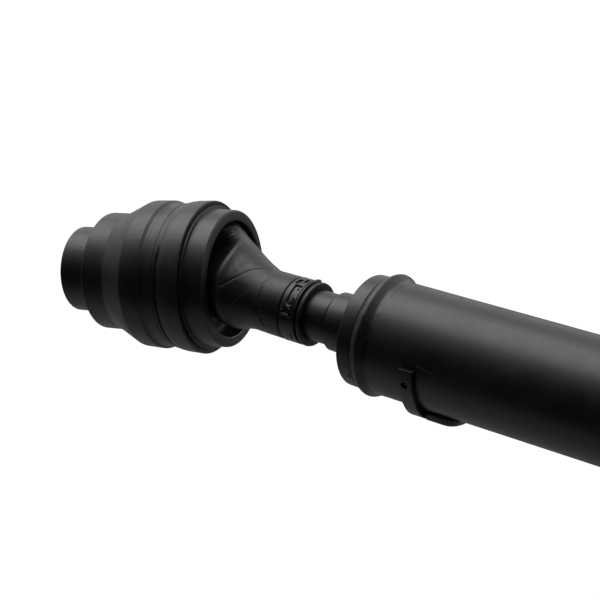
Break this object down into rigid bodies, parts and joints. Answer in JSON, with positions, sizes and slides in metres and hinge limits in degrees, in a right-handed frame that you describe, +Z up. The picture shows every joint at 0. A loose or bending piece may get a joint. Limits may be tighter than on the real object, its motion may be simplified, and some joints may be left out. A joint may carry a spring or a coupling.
{
  "type": "universal joint shaft",
  "caption": "Tubular drive shaft with a ball-type constant-velocity universal joint, rolled rubber boot in a can, boot clamp, balance weights and a bolted flange.",
  "frame": {"origin": "centre of the pilot's flat end face, at the flange end", "axes": "+X along the tube axis from the joint towards the flange, +Z up; the joint housing rests bent 13.1 degrees away from the tube axis"},
  "size_m": [0.6105, 0.1043, 0.104],
  "materials": {
    "black_paint": "satin",
    "boot_rubber": "satin",
    "bearing_steel": "polished, greased",
    "clamp_steel": "dark satin"
  },
  "bodies": {
    "shaft": {"stub_shaft": "black_paint", "tube": "black_paint", "weld_bead_front": "black_paint", "weld_bead_rear": "black_paint", "flange_hub": "black_paint", "weight_strap": "black_paint", "weight_strap_layer": "black_paint", "weight_plug": "clamp_steel", "weight_plate": "black_paint", "boot_clamp": "clamp_steel", "inner_race": "bearing_steel", "race_circlip": "clamp_steel"},
    "boot_neck": {"boot_funnel": "boot_rubber"},
    "ball_cage": {"cage": "bearing_steel", "ball_1": "bearing_steel", "ball_2": "bearing_steel", "ball_3": "bearing_steel", "ball_4": "bearing_steel", "ball_5": "bearing_steel", "ball_6": "bearing_steel"},
    "boot_fold": {"boot_roll": "boot_rubber"},
    "housing": {"outer_race": "black_paint", "grease_cap": "clamp_steel", "nose_lock_ring": "clamp_steel", "stepped_cover": "black_paint", "retaining_collar": "black_paint", "boot_can": "black_paint"}
  },
  "joints": [
    {"name": "bend_shaft_side", "type": "hinge", "parent": "shaft", "child": "boot_neck", "pos_m": [-0.5263, 0, 0], "axis": [0, -0.4867, 0.8736], "range_deg": [-15.55, 2.45], "deforming": ["boot_funnel"]},
    {"name": "swing_shaft_side", "type": "hinge", "parent": "boot_neck", "child": "ball_cage", "pos_m": [-0.5263, 0, 0], "axis": [-0.1141, 0.8679, 0.4835], "range_deg": [-7, 7]},
    {"name": "swing_housing_side", "type": "hinge", "parent": "ball_cage", "child": "boot_fold", "pos_m": [-0.5263, 0, 0], "axis": [-0.1141, 0.8679, 0.4835], "range_deg": [-7, 7], "deforming": ["boot_roll"]},
    {"name": "bend_housing_side", "type": "hinge", "parent": "boot_fold", "child": "housing", "pos_m": [-0.5263, 0, 0], "axis": [0, -0.4867, 0.8736], "range_deg": [-15.55, 2.45]}
  ],
  "couplings": [
    {"joint": "swing_housing_side", "follows": "swing_shaft_side", "ratio": 1},
    {"joint": "bend_housing_side", "follows": "bend_shaft_side", "ratio": 1}
  ]
}
